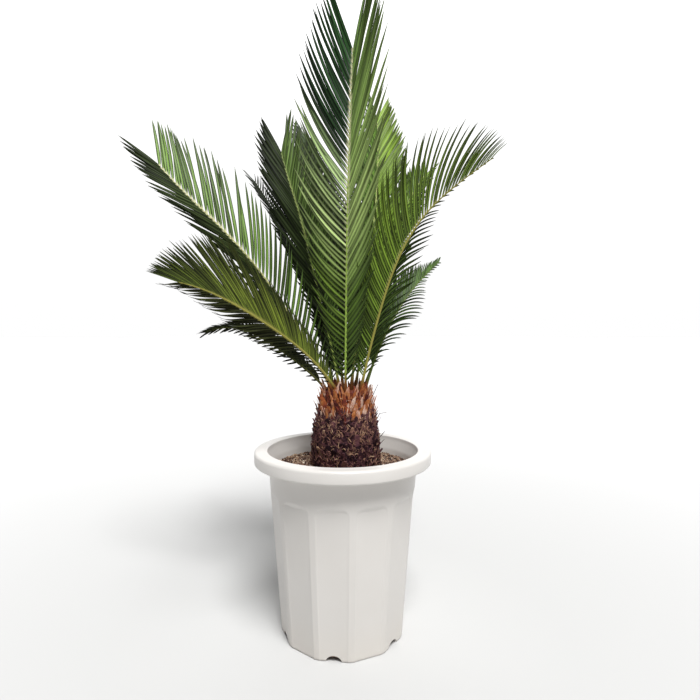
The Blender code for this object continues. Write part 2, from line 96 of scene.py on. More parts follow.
def finish(name, **values):
    """A new material with these values on its shader, its tree, and the shader."""
    made = bpy.data.materials.new(name)
    made.use_nodes = True
    shader = made.node_tree.nodes["Principled BSDF"]
    for socket, value in values.items():
        shader.inputs[socket.replace("_", " ")].default_value = value
    return made, made.node_tree, shader


def feed(shader, **sources):
    """Links each source to the shader's socket of that name."""
    for socket, source in sources.items():
        shader.id_data.links.new(source, shader.inputs[socket.replace("_", " ")])


def own_place(tree):
    """Places in the piece's own coordinates, for a pattern to lie on."""
    return node(tree, "ShaderNodeTexCoord").outputs["Object"]


def split(tree, vector):
    """A vector's three numbers, named X, Y and Z."""
    return node(tree, "ShaderNodeSeparateXYZ", {0: vector}).outputs


def noise(tree, place, scale, detail):
    """Cloudy noise from 0 to 1, with so many patches a metre."""
    return node(tree, "ShaderNodeTexNoise", {"Scale": scale, "Detail": detail, "Vector": place}).outputs[0]


def mapped(tree, value, start=0.0, end=1.0, low=0.0, high=1.0):
    """A value's range from start to end brought to the range from low to high, and held there."""
    return node(tree, "ShaderNodeMapRange", {
        "From Min": start, "From Max": end, "To Min": low, "To Max": high, "Value": value}).outputs[0]


def blend(tree, share, under, over, kind="MIX"):
    """One colour over another by a share. Each is a node's output or a hex colour."""
    return node(tree, "ShaderNodeMix", {
        "data_type": "RGBA", "blend_type": kind, 0: share, 6: under, 7: over}).outputs[2]


def bumped(tree, height, strength, distance):
    """A fine relief, for a shader's Normal."""
    return node(tree, "ShaderNodeBump", {
        "Strength": strength, "Distance": distance, "Height": height}).outputs[0]


def add_mesh(name, vertices, faces, material, sharp=None):
    """A piece from points and faces that already turn outwards, smooth but for sharp edges."""
    mesh = bpy.data.meshes.new(name)
    mesh.from_pydata(np.reshape(vertices, (-1, 3)).tolist(), [], faces)
    mesh.shade_smooth()
    if sharp is not None:
        mesh.set_sharp_from_angle(angle=math.radians(sharp))
    mesh.materials.append(material)
    piece = bpy.data.objects.new(name, mesh)
    bpy.context.scene.collection.objects.link(piece)
    return piece


def arc(centre, radius, start, end, count):
    """Points (r, z) on an arc, from one angle to another, in degrees from +r towards +z."""
    a = np.radians(np.linspace(start, end, count))
    return np.stack([centre[0] + radius * np.cos(a), centre[1] + radius * np.sin(a)], 1)


def full_turn(count):
    """Angles evenly round a circle."""
    return np.linspace(0, 2 * math.pi, count, endpoint=False)


def wrapped_faces(rows, columns):
    """Quads of a grid of rings, closed round each ring, for rings that rise with outward faces."""
    i, j = np.meshgrid(np.arange(rows - 1), np.arange(columns), indexing="ij")
    k = (j + 1) % columns
    quads = np.stack([i * columns + j, i * columns + k, (i + 1) * columns + k, (i + 1) * columns + j], -1)
    return quads.reshape(-1, 4).tolist()


def capped_faces(rows, columns):
    """The same quads, with a cap on the first ring and one on the last."""
    ring = np.arange(columns)
    return wrapped_faces(rows, columns) + [ring[::-1].tolist(), (ring + (rows - 1) * columns).tolist()]


def cone_radius(z):
    """Outer radius of the pot's round wall, widening evenly with height."""
    return FOOT_RADIUS + WIDENING * z


def inner_radius(z):
    """The pot's inner wall, about one wall's thickness inside the flats."""
    return cone_radius(z) * INNER_SHARE - WALL


def wall_radius(z, turn):
    """The pot's outer wall: the round cone, sunk to a flat within each panel.

    A panel ends in a blunt arch. A place in it has the measure q: the distance from the middle as
    a share of the half width, joined in the arch with the share of the arch's height as the sides
    of a superellipse are. The wall slopes from the flat up to the cone just inside q = 1, steeply
    at the sides and softly at the top.
    """
    sector = 2 * math.pi / PANELS
    off = (turn - PANEL_CORNER) % sector - sector / 2
    across = np.abs(off) / PANEL_HALF + 0 * z
    rise = np.clip((z - PANEL_TOP + ARCH_HEIGHT) / ARCH_HEIGHT, 0, None) + 0 * off
    q = (across ** ARCH_POWER + rise ** ARCH_POWER) ** (1 / ARCH_POWER)
    slope = EDGE_SLOPE + ARCH_SLOPE * (rise / np.maximum(q, 1e-6)) ** 4
    ramp_up = np.clip((q - 1 + slope) / slope, 0, 1)
    sunk = 1 - ramp_up ** 2 * (3 - 2 * ramp_up)
    flat = cone_radius(z) * PANEL_RECESS / np.cos(off)
    return cone_radius(z) + (flat - cone_radius(z)) * sunk


def pot_moulding():
    """The closed wall of the pot: rings up the outside, over the rim, down inside and across.

    The foot's edge is rounded, and the rings stand closest where the arches need them.
    """
    turn = full_turn(POT_COLUMNS)
    heights = np.concatenate([
        [0.0015], np.linspace(0.004, PANEL_TOP - ARCH_HEIGHT, 9),
        np.linspace(PANEL_TOP - ARCH_HEIGHT, PANEL_TOP + 0.001, 26)[1:], [0.212, 0.222, RIM_LOW - 0.0008]])
    wall = wall_radius(heights[:, None], turn[None, :])
    foot = wall_radius(np.array([[0.0]]), turn[None, :]) - np.array([[0.0022], [0.0012], [0.0004]])
    z_outer = np.concatenate([[0.0, 0.0002, 0.0007], heights])
    r_outer = np.concatenate([foot, wall])
    rim = np.concatenate([
        # Under the rim: up the wall, across its hollow and down to its lower edge
        [(cone_radius(RIM_LOW) + 0.0004, RIM_LOW), (cone_radius(RIM_LOW) + 0.0006, RIM_LOW + RIM_HOLLOW)],
        [(RIM_RADIUS - 0.0046, RIM_LOW + RIM_HOLLOW), (RIM_RADIUS - 0.0040, RIM_LOW)],
        # Round its face, over its flat top and into the opening
        arc((RIM_RADIUS - 0.0024, RIM_LOW + 0.0024), 0.0024, -90, 0, 5)[1:],
        arc((RIM_RADIUS - 0.0038, POT_HEIGHT - 0.0041), 0.0038, 0, 90, 7),
        [(RIM_RADIUS - 0.0085, POT_HEIGHT - 0.0004), (OPENING_RADIUS + 0.0044, POT_HEIGHT - 0.0006)],
        arc((OPENING_RADIUS + 0.0022, POT_HEIGHT - 0.0016), 0.0016, 90, 180, 6),
        [(OPENING_RADIUS - 0.0006, POT_HEIGHT - 0.0075)],
        # Down inside to the wall, and down the wall to the floor
        [(inner_radius(RIM_LOW) + 0.0012, RIM_LOW + 0.0015)],
        [(inner_radius(RIM_LOW) + 0.0002, RIM_LOW - 0.003)],
        [(inner_radius(z), z) for z in (0.210, 0.100, 0.010)],
        [(inner_radius(FLOOR) - 0.006, FLOOR), (0.040, FLOOR)],
    ])
    r = np.concatenate([r_outer, np.repeat(rim[:, :1], POT_COLUMNS, 1)])
    z = np.concatenate([z_outer, rim[:, 1]])
    rings = np.stack([r * np.cos(turn), r * np.sin(turn), np.repeat(z[:, None], POT_COLUMNS, 1)], -1)
    return rings, capped_faces(len(r), POT_COLUMNS)


def cut_notches(pot):
    """Cuts the drain notches, half ellipses along lines out from the middle, and applies the cuts."""
    for i in range(NOTCHES):
        turn = PANEL_CORNER - math.pi / PANELS + i * 2 * math.pi / NOTCHES
        a = full_turn(NOTCH_SIDES)
        across, up = NOTCH_HALF[0] * np.cos(a), NOTCH_HALF[1] * np.sin(a)
        out = np.array([math.cos(turn), math.sin(turn), 0])
        side = np.array([-math.sin(turn), math.cos(turn), 0])
        middle = out * cone_radius(0)
        rings = [middle + out * reach + across[:, None] * side + up[:, None] * (0, 0, 1)
                 for reach in (-NOTCH_LENGTH / 2, NOTCH_LENGTH / 2)]
        cutter = add_mesh("notch", rings, capped_faces(2, NOTCH_SIDES), pot.data.materials[0])
        cut = pot.modifiers.new("notch", "BOOLEAN")
        cut.operation = "DIFFERENCE"
        cut.object = cutter
        apply_modifiers(pot)
        bpy.data.objects.remove(cutter)


def apply_modifiers(piece):
    """Puts the mesh that a piece's modifiers give in place of its own."""
    graph = bpy.context.evaluated_depsgraph_get()
    made = bpy.data.meshes.new_from_object(piece.evaluated_get(graph))
    piece.modifiers.clear()
    piece.data = made


# Injection-moulded polypropylene, warm white and slightly glossy. The eye sees soft wide
# highlights, a fine orange-peel that breaks them, and a colour a little darker and warmer towards
# the foot.
plastic, tree, shader = finish("white_moulded_plastic", Roughness=0.36, IOR=1.49)
place = own_place(tree)
cloudy = blend(tree, noise(tree, place, 14.0, 4.0), "D8D5D1", "D0CCC7")
# A little darker and warmer over the lowest five centimetres, towards the foot
foot_tint = mapped(tree, split(tree, place)["Z"], 0.05, 0.0, high=0.35)
PEEL = 0.0016
peel = bumped(tree, noise(tree, place, 1 / PEEL, 2.0), strength=0.06, distance=0.0002)
feed(shader, Base_Color=blend(tree, foot_tint, cloudy, "D3CBC0"), Normal=peel)

SHARP_EDGE = 50
pot = add_mesh("pot_moulding", *pot_moulding(), plastic, SHARP_EDGE)
cut_notches(pot)
pot.data.shade_smooth()
pot.data.set_sharp_from_angle(angle=math.radians(SHARP_EDGE))
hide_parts("pot")
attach(pot, "root")

# Soil. A bought potting mix of baked clay, pumice and bark grit, poured in loose: a low heap
# against the trunk, with grains up to some five millimetres across lying on it.

SOIL_LEVEL = 0.2225
SOIL_RISE = 0.004
TRUNK_AXIS = 0.004
HOLE_RADIUS = 0.0443
HOLE_FOOT = 0.177
BED_RADIUS = 0.097
BED_FOOT = 0.0045
BED_COLUMNS = 240
GRAINS = 3000
GRAIN_RADII = (0.0008, 0.0022)


def ripple(points, scale, seed, octaves=4):
    """Smooth noise about -1 to 1 at points: sines along seeded directions, finer and weaker."""
    rng = np.random.default_rng(seed)
    total = np.zeros(points.shape[:-1])
    for octave in range(octaves):
        ways = rng.normal(size=(6, 3))
        ways *= scale * 1.9 ** octave / np.linalg.norm(ways, axis=1, keepdims=True)
        phases = rng.uniform(0, 2 * math.pi, 6)
        total += np.sin(points @ ways.T + phases).sum(-1) / 6 * 0.6 ** octave
    return total


def soil_height(x, y):
    """The soil's top: a heap that rises towards the trunk, with lumps of a few millimetres."""
    away = np.hypot(x - TRUNK_AXIS, y)
    share = np.clip((BED_RADIUS - away) / (BED_RADIUS - HOLE_RADIUS), 0, 1)
    flat = np.stack([x, y, 0 * x], -1)
    lumps = 0.0011 * ripple(flat, 120, 3) + 0.0007 * ripple(flat, 900, 4)
    return SOIL_LEVEL + SOIL_RISE * share ** 1.5 + lumps


def soil_bed():
    """The soil as one closed body: rings from the wall to the trunk, and down both sides."""
    turn = full_turn(BED_COLUMNS)
    outer = inner_radius(SOIL_LEVEL) - 0.0004
    share = np.concatenate([[0, 0], np.linspace(0.004, 1, 44), [1]])
    r = outer + (HOLE_RADIUS - 0.0035 - outer) * share[:, None] + 0 * turn
    x = r * np.cos(turn) + TRUNK_AXIS * share[:, None]
    y = r * np.sin(turn)
    z = soil_height(x, y)
    z[0] = BED_FOOT
    z[1] = SOIL_LEVEL - 0.002
    z[-1] = HOLE_FOOT
    low = inner_radius(BED_FOOT) - 0.0004
    x[0], y[0] = low * np.cos(turn), low * np.sin(turn)
    return np.stack([x, y, z], -1), capped_faces(len(share), BED_COLUMNS)


def set_points(piece, name, kind, values):
    """Writes one value, or one vector, for each point of a piece's mesh."""
    field = "value" if kind == "FLOAT" else "vector"
    layer = piece.data.attributes.new(name, kind, "POINT")
    layer.data.foreach_set(field, np.asarray(values, np.float32).ravel())


def grains(rng):
    """Loose grains: each a jittered icosahedron, squashed and turned, sunk a third into the bed."""
    g = (1 + math.sqrt(5)) / 2
    corners = np.array([(-1, g, 0), (1, g, 0), (-1, -g, 0), (1, -g, 0), (0, -1, g), (0, 1, g),
                        (0, -1, -g), (0, 1, -g), (g, 0, -1), (g, 0, 1), (-g, 0, -1), (-g, 0, 1)])
    corners /= np.linalg.norm(corners[0])
    faces = np.array([(0, 11, 5), (0, 5, 1), (0, 1, 7), (0, 7, 10), (0, 10, 11), (1, 5, 9), (5, 11, 4),
                      (11, 10, 2), (10, 7, 6), (7, 1, 8), (3, 9, 4), (3, 4, 2), (3, 2, 6), (3, 6, 8),
                      (3, 8, 9), (4, 9, 5), (2, 4, 11), (6, 2, 10), (8, 6, 7), (9, 8, 1)])
    away = np.sqrt(rng.uniform((HOLE_RADIUS - 0.0013) ** 2, (BED_RADIUS + 0.0005) ** 2, GRAINS))
    turn = rng.uniform(0, 2 * math.pi, GRAINS)
    x, y = away * np.cos(turn), away * np.sin(turn)
    size = GRAIN_RADII[0] + (GRAIN_RADII[1] - GRAIN_RADII[0]) * rng.uniform(0, 1, GRAINS) ** 2.5
    edge = inner_radius(SOIL_LEVEL) - 0.0006
    shrink = np.minimum(1, (edge - size * 1.3) / np.hypot(x, y))
    x, y = x * shrink, y * shrink
    shape = corners[None] * size[:, None, None] * rng.uniform(0.6, 1.3, (GRAINS, 1, 3))
    shape = shape * rng.uniform(0.85, 1.15, (GRAINS, 12, 1))
    spin = rng.uniform(0, 2 * math.pi, GRAINS)
    c, s = np.cos(spin)[:, None], np.sin(spin)[:, None]
    lean = rng.uniform(-0.7, 0.7, (GRAINS, 1))
    u, v, w = shape[..., 0], shape[..., 1], shape[..., 2]
    v, w = v * np.cos(lean) - w * np.sin(lean), v * np.sin(lean) + w * np.cos(lean)
    z = soil_height(x, y) + size * 0.35
    points = np.stack([x[:, None] + u * c - v * s, y[:, None] + u * s + v * c, z[:, None] + w], -1)
    all_faces = (faces[None] + 12 * np.arange(GRAINS)[:, None, None]).reshape(-1, 3)
    return points, all_faces.tolist(), np.repeat(rng.uniform(0, 1, GRAINS), 12)


def ramp(tree, stops, source, kind="LINEAR"):
    """The colour that a source picks from stops, each (place, sRGB hex or plain value)."""
    made = node(tree, "ShaderNodeValToRGB", {0: source})
    made.color_ramp.interpolation = kind
    while len(made.color_ramp.elements) < len(stops):
        made.color_ramp.elements.new(1.0)
    for element, (place, code) in zip(made.color_ramp.elements, stops):
        element.position = place
        element.color = linear(code) if isinstance(code, str) else (code, code, code, 1.0)
    return made.outputs[0]


def stored(tree, name):
    """What set_points wrote on the mesh under this name."""
    return node(tree, "ShaderNodeAttribute", {"attribute_name": name}).outputs


# Damp mix of baked clay and bark: dull, with no gloss, darker in its hollows. Its grit of about a
# millimetre shows as specks of tan, brown and near black.
mix, tree, shader = finish("potting_mix", Roughness=0.95, Specular_IOR_Level=0.2)
GRIT = 0.0011
specks = node(tree, "ShaderNodeTexVoronoi", {"Scale": 1 / GRIT, "Vector": own_place(tree)}).outputs
tone = ramp(tree, ((0.25, "3A2A22"), (0.5, "6E5242"), (0.75, "9C7C62"), (1.0, "FFFFFF")), specks["Color"])
feed(shader, Base_Color=tone, Normal=bumped(tree, specks["Distance"], strength=0.8, distance=0.0008))

# Single grains of pumice, clay and bark, each of one colour, rough and matt.
grit, tree, shader = finish("loose_grit", Roughness=0.9, Specular_IOR_Level=0.25)
stone = ramp(tree, (
    (0.0, "3A2A24"), (0.18, "523E36"), (0.38, "7A5E4E"), (0.58, "957962"), (0.76, "B0977E"),
    (0.90, "C8B49B"), (0.965, "DDD2C0")), stored(tree, "tone")["Fac"], "CONSTANT")
pores = mapped(tree, noise(tree, own_place(tree), 1500.0, 3.0), low=0.6, high=1.15)
feed(shader, Base_Color=blend(tree, 1.0, stone, pores, "MULTIPLY"))

bed = add_mesh("soil_bed", *soil_bed(), mix, sharp=60)
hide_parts("soil")
points, faces, tones = grains(np.random.default_rng(11))
loose = add_mesh("loose_grains", points, faces, grit, sharp=20)
set_points(loose, "tone", "FLOAT", tones)
for piece in (bed, loose):
    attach(piece, "root")

# Trunk. The cycad's short woody stem: a lumpy core of old leaf scars, weathered dark purple-brown,
# with the worn stubs of leaves lying against it in a golden spiral, and the coarse fibres of their
# torn sheaths curling over them. A few strays stand out at the sides.

TRUNK_TOP = 0.300
CROWN_TOP = 0.3262
STUBS = 250
FIBRES = 1900
FIBRE_RINGS = 8
GOLDEN_TURN = math.radians(137.508)
MEAN_RADIUS = 0.042
TRUNK_PROFILE = ((0.176, 0.0400), (0.226, 0.0440), (0.240, 0.0443), (0.262, 0.0428), (0.282, 0.0396),
                 (0.297, 0.0362), (0.310, 0.0325), (CROWN_TOP, 0.0300))


def trunk_radius(z):
    """The core's radius at a height, read along its profile."""
    return np.interp(z, *zip(*TRUNK_PROFILE))


def unit(v):
    """Vectors brought to length one."""
    return v / np.linalg.norm(v, axis=-1, keepdims=True)


def carried(paths, broad, half_wide, half_thick, section):
    """Closed blades: a section carried along each path, scaled to its width and thickness.

    paths and broad are (blades, rings, 3), the sizes (blades, rings), and the section's points
    run anticlockwise as (across, up) about the path. Each blade is capped at both ends.
    """
    way = unit(np.gradient(paths, axis=1))
    broad = unit(broad - way * (broad * way).sum(-1, keepdims=True))
    thin = np.cross(way, broad)
    count, rings, sides = len(paths), paths.shape[1], len(section)
    across = half_wide[..., None] * section[:, 0]
    up = half_thick[..., None] * section[:, 1]
    points = paths[:, :, None] + across[..., None] * broad[:, :, None] + up[..., None] * thin[:, :, None]
    grid = np.array(wrapped_faces(rings, sides))
    starts = rings * sides * np.arange(count)
    faces = (grid[None] + starts[:, None, None]).reshape(-1, 4).tolist()
    root = np.arange(sides)[::-1]
    tip = (rings - 1) * sides + np.arange(sides)
    faces += (root[None] + starts[:, None]).tolist() + (tip[None] + starts[:, None]).tolist()
    return points, faces


def round_trunk(turn, radius, z):
    """Points at angles round the trunk's axis."""
    return np.stack([radius * np.cos(turn) + TRUNK_AXIS, radius * np.sin(turn), z + 0 * turn], -1)


def sideways(turn):
    """Directions along the trunk's surface, square to its axis."""
    return np.stack([-np.sin(turn), np.cos(turn), 0 * turn], -1)


def stubs(rng, count, low, high, climb, length, width, thick, taper, sink, curl):
    """Stubs of leaves in a golden spiral between two heights, climbing, tapering and torn off.

    Each runs out from under the core's surface, and curls further out (or in) towards its end.
    """
    i = np.arange(count)
    turn = GOLDEN_TURN * i + rng.normal(0, 0.06, count)
    z = low + (high - low) * (i + 0.5) / count + rng.normal(0, 0.0014, count)
    root = round_trunk(turn, trunk_radius(z) - sink, z)
    reach = rng.uniform(*length, count)
    rings = len(taper)
    share = np.linspace(0, 1, rings)
    rise = np.radians(rng.uniform(*climb, count)[:, None] - curl * rng.uniform(0.1, 1.6, (count, 1)) * share)
    out = np.stack([np.cos(turn), np.sin(turn), 0 * turn], -1)[:, None]
    side = sideways(turn)[:, None]
    lean = rng.normal(0, 0.14, (count, 1)) + rng.normal(0, 0.18, (count, 1)) * share
    ways = unit(np.cos(rise)[..., None] * out + np.sin(rise)[..., None] * (0, 0, 1) + lean[..., None] * side)
    steps = np.concatenate([np.zeros((count, 1, 3)), ways[:, 1:]], 1)
    path = root[:, None] + np.cumsum(steps, 1) * (reach / (rings - 1))[:, None, None]
    half = rng.uniform(*width, count)[:, None] / 2 * np.array(taper) * rng.uniform(0.82, 1.18, (count, rings))
    deep = rng.uniform(*thick, count)[:, None] / 2 * np.linspace(1, 0.5, rings)
    broad = side + np.zeros((count, rings, 3)) + rng.normal(0, 0.16, (count, 1, 3))
    return path, broad, half, deep


def fibres(rng, count, low, high, length, width, heading, wander, lift):
    """Torn fibres that lie on the trunk: each creeps over its surface with a wandering heading.

    The heading is an angle from upright, lift how far a fibre's end may stand off the surface.
    """
    share = np.linspace(0, 1, FIBRE_RINGS)
    turn = rng.uniform(0, 2 * math.pi, (count, 1))
    z = rng.uniform(low, high, (count, 1))
    reach = rng.uniform(*length, (count, 1)) / (FIBRE_RINGS - 1)
    angle = rng.normal(0, heading, (count, 1)) + rng.normal(0, wander, (count, 1)) * (share - 0.3) * 3
    angle = angle + np.cumsum(rng.normal(0, wander * 0.45, (count, FIBRE_RINGS)), 1)
    z = z + np.cumsum(np.cos(angle) * reach, 1)
    turn = turn + np.cumsum(np.sin(angle) * reach / MEAN_RADIUS, 1)
    off = rng.uniform(0.0012, 0.0040, (count, 1))
    off = off + np.abs(rng.normal(0, lift, (count, 1))) * share ** 2
    path = round_trunk(turn, trunk_radius(z) + off, z)
    half = rng.uniform(*width, (count, 1)) / 2 * np.interp(share, (0, 0.2, 0.7, 1), (0.5, 1, 0.9, 0.35))
    return path, sideways(turn) + 0.3 * rng.normal(size=(count, 1, 3)), half, half * 0.5


def core(columns, rows, low, high, seed, lumps, roughness):
    """The stem's own surface: its profile turned about the axis, with lumps and a finer ripple."""
    turn = full_turn(columns)
    z = np.linspace(low, high, rows)[:, None] + 0 * turn
    points = round_trunk(turn[None] + 0 * z, trunk_radius(z), z)
    rough = lumps * ripple(points, 330, seed, 2) + roughness * ripple(points, 1500, seed + 1, 3)
    points = round_trunk(turn[None] + 0 * z, trunk_radius(z) + rough, z)
    return points, capped_faces(rows, columns)


def join(parts):
    """Several (points, faces) as one."""
    points, faces, start = [], [], 0
    for these, theirs in parts:
        flat = np.reshape(these, (-1, 3))
        points.append(flat)
        faces += [[v + start for v in face] for face in theirs]
        start += len(flat)
    return np.concatenate(points), faces


def stem_piece(name, parts, material):
    """One piece of several parts, each with a tone for each of its blades, or one for all."""
    tones = [np.repeat(np.clip(own, 0, 1), part[0].size // 3 // len(own)) for part, own in parts]
    piece = add_mesh(name, *join([part for part, _ in parts]), material, sharp=40)
    set_points(piece, "tone", "FLOAT", np.concatenate(tones))
    return piece


def maths(tree, operation, *values):
    """What an operation makes of values, each a number or a node's output."""
    return node(tree, "ShaderNodeMath", {"operation": operation, **dict(enumerate(values))}).outputs[0]


def bark(name, stops, stain):
    """Dry leaf stubs and sheath fibre: rough, with no gloss, streaked along the grain.

    A point's tone, shifted by patches of a few millimetres, picks its colour from the stops, and
    finer upright streaks of a darker stain lie over it.
    """
    made, tree, shader = finish(name, Roughness=0.88, Specular_IOR_Level=0.2)
    place = own_place(tree)
    shift = maths(tree, "MULTIPLY_ADD", noise(tree, place, 170.0, 5.0), 0.9, -0.45)
    tone = ramp(tree, stops, maths(tree, "ADD", stored(tree, "tone")["Fac"], shift))
    upright = node(tree, "ShaderNodeMapping", {"Scale": (1.0, 1.0, 0.25), "Vector": place}).outputs[0]
    streak = noise(tree, upright, 1300.0, 3.0)
    worn = blend(tree, mapped(tree, streak, 0.42, 0.68, high=0.65), tone, stain)
    feed(shader, Base_Color=worn, Normal=bumped(tree, streak, strength=0.7, distance=0.0006))
    return made


STUB_SECTION = np.array([(1, -0.1), (0.62, 0.75), (-0.62, 0.75), (-1, -0.1), (-0.5, -0.7), (0.5, -0.7)])
STRAND_SECTION = np.array([(1, 0), (0, 1), (-1, 0), (0, -1)])
# Strays seen at the trunk's sides, a little before its axis, each as points (x, z) and a thickness
STRAY_DEPTH = -0.004
STRAYS = (
    (((0.0365, 0.306), (0.0387, 0.314), (0.0432, 0.325), (0.0483, 0.3357)), 0.0011),
    (((0.0410, 0.274), (0.0442, 0.283), (0.0505, 0.2955), (0.0600, 0.2972)), 0.0010),
    (((0.0440, 0.276), (0.0470, 0.281), (0.0505, 0.287), (0.0520, 0.2915)), 0.0006),
    (((0.0400, 0.289), (0.0440, 0.2945), (0.0463, 0.2975), (0.0485, 0.3002)), 0.0013),
    (((0.0455, 0.258), (0.0497, 0.262), (0.0545, 0.2675), (0.0580, 0.2715)), 0.0011),
    (((0.0470, 0.253), (0.0520, 0.2545), (0.0545, 0.2575), (0.0570, 0.2600)), 0.0009),
    (((-0.0300, 0.284), (-0.0325, 0.292), (-0.0345, 0.301), (-0.0368, 0.3095)), 0.0022),
    (((-0.0270, 0.288), (-0.0255, 0.297), (-0.0262, 0.306), (-0.0290, 0.3140)), 0.0030),
)

old_bark = bark("weathered_leaf_stubs", (
    (0.05, "24111A"), (0.28, "402329"), (0.45, "664045"), (0.62, "7E5850"), (0.8, "A0785F"),
    (1.0, "C4A283")), "301C20")
rng = np.random.default_rng(5)
old_stubs = carried(*stubs(
    rng, STUBS, low=0.218, high=0.296, climb=(74, 98), length=(0.008, 0.015), width=(0.0050, 0.0110),
    thick=(0.0030, 0.0055), taper=(0.85, 1, 1, 0.9, 0.72, 0.4), sink=0.0006, curl=20), STUB_SECTION)
strands = carried(*fibres(
    rng, FIBRES, low=0.224, high=0.300, length=(0.004, 0.012), width=(0.0007, 0.0015),
    heading=1.0, wander=0.9, lift=0.0010), STRAND_SECTION)
stray_paths = np.array([[(x, STRAY_DEPTH, z) for x, z in path] for path, _ in STRAYS])
stray_half = np.array([[thick / 2] * 4 for _, thick in STRAYS]) * (1, 0.95, 0.8, 0.5)
depth_way = np.zeros_like(stray_paths) + (0, 1, 0)
trunk = stem_piece("trunk_of_stubs", [
    (core(300, 110, 0.1765, TRUNK_TOP, seed=21, lumps=0.0020, roughness=0.0006), [0.12]),
    # The stubs a little darker towards the bottom of the trunk
    (old_stubs, rng.normal(0.37, 0.26, STUBS) + np.linspace(-0.10, 0.12, STUBS)),
    (strands, rng.normal(0.55, 0.20, FIBRES)),
    (carried(stray_paths, depth_way, stray_half, stray_half, STRAND_SECTION), [0.3] * len(STRAYS)),
], old_bark)
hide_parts("trunk")
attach(trunk, "root")

# Crown. The newest leaf bases, cut back and dried: upright ragged strips of orange-brown, tan and
# pale pink that overlap round the growing point, dark red in the gaps, with brown wool between.

BASES = 175
WOOL = 520

young_bark = bark("dry_leaf_bases", (
    (0.0, "3A1218"), (0.2, "72302A"), (0.38, "A2582F"), (0.55, "BE7A44"), (0.72, "CC9074"),
    (0.86, "DAB09C"), (1.0, "E8CCB8")), "6E3822")
rng = np.random.default_rng(8)
bases = carried(*stubs(
    rng, BASES, low=0.286, high=0.3225, climb=(76, 97), length=(0.012, 0.025), width=(0.0032, 0.0076),
    thick=(0.0012, 0.0026), taper=(0.75, 1, 0.98, 0.92, 0.8, 0.62, 0.25), sink=0.0002, curl=14), STUB_SECTION)
wool = carried(*fibres(
    rng, WOOL, low=0.296, high=0.322, length=(0.005, 0.014), width=(0.0005, 0.0011),
    heading=0.5, wander=0.4, lift=0.0012), STRAND_SECTION)
crown = stem_piece("crown_of_leaf_bases", [
    (core(200, 40, 0.2965, CROWN_TOP, seed=31, lumps=0.0010, roughness=0.0004), [0.1]),
    (bases, rng.normal(0.48, 0.31, BASES)),
    (wool, rng.normal(0.42, 0.28, WOOL)),
], young_bark)
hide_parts("leaf_bases")
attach(crown, "root")

# Fronds. Each grew as one stiff arching rib with two rows of narrow leathery leaflets, set in a
# shallow V. The rib is flattened, tan at the foot and paler above; a leaflet is cream where it
# joins the rib, dark and waxy above with a convex face, and ends in a point.

CROWN_SEAT = 0.3281
BARE = 0.05
RIB_SUNK = 0.0015
RIB_RINGS = 110
RIB_SIDES = 12
STALK_HALF = (0.0033, 0.0029)
RIB_HALF_START = (0.0018, 0.0016)
RIB_HALF_END = (0.0006, 0.0006)
LEAFLET_RINGS = 9
MIDDLE_RING = (LEAFLET_RINGS - 1) // 2
LEAFLET_HALF_DEPTH = 0.00045
SHORT_LEAFLET = 0.06
# A leaflet's width and depth at places along it, and its brightness at places across it: a painted highlight
# down its middle and painted shade towards its edges
OUTLINE = ((0, 0.6), (0.05, 0.7), (0.2, 1), (0.45, 0.96), (0.72, 0.80), (0.9, 0.50), (1, 0.06))
DEPTH = ((0, 1.6), (0.3, 1), (1, 0.4))
ACROSS_BLADE = ((0.0, 1.6), (0.15, 1.15), (0.4, 0.95), (0.7, 0.40), (1.0, 0.14))
# The least and the most brightness of a leaflet beside its row's colour
BRIGHTNESS = (0.50, 2.00)
SIDES = (("left", 1), ("right", -1))


def row(length, spread, fold, tones, droop=4, turn=(6, 6), slim=1.0, every=1,
        dark=(0.45, 0.85, 0.55), gloss=0.20, tilt=22, lines=1.0):
    """One row of leaflets.

    Read along the rib from foot to tip: their lengths, their angles to the rib, how far they fold
    up out of its plane, their colours at places on the rib, in which rows and stretches are painted
    darker where shade falls and paler where light or sheen falls, and how much further forward
    their ends turn. The same for all: how far they droop, their share of the frond's blade width,
    which of the frond's number the row has (1 all, 2 half of them), from where to where along them
    they darken in painted shade towards the tip and to what share, how glossy they are, how far
    their blades are twisted, and how strongly the painted highlight down their middle and the
    painted shade at their edges show.
    """
    return dict(length=length, spread=spread, fold=fold, tones=tones, droop=droop, turn=turn,
                slim=slim, every=every, dark=dark, gloss=gloss, tilt=tilt, lines=lines)
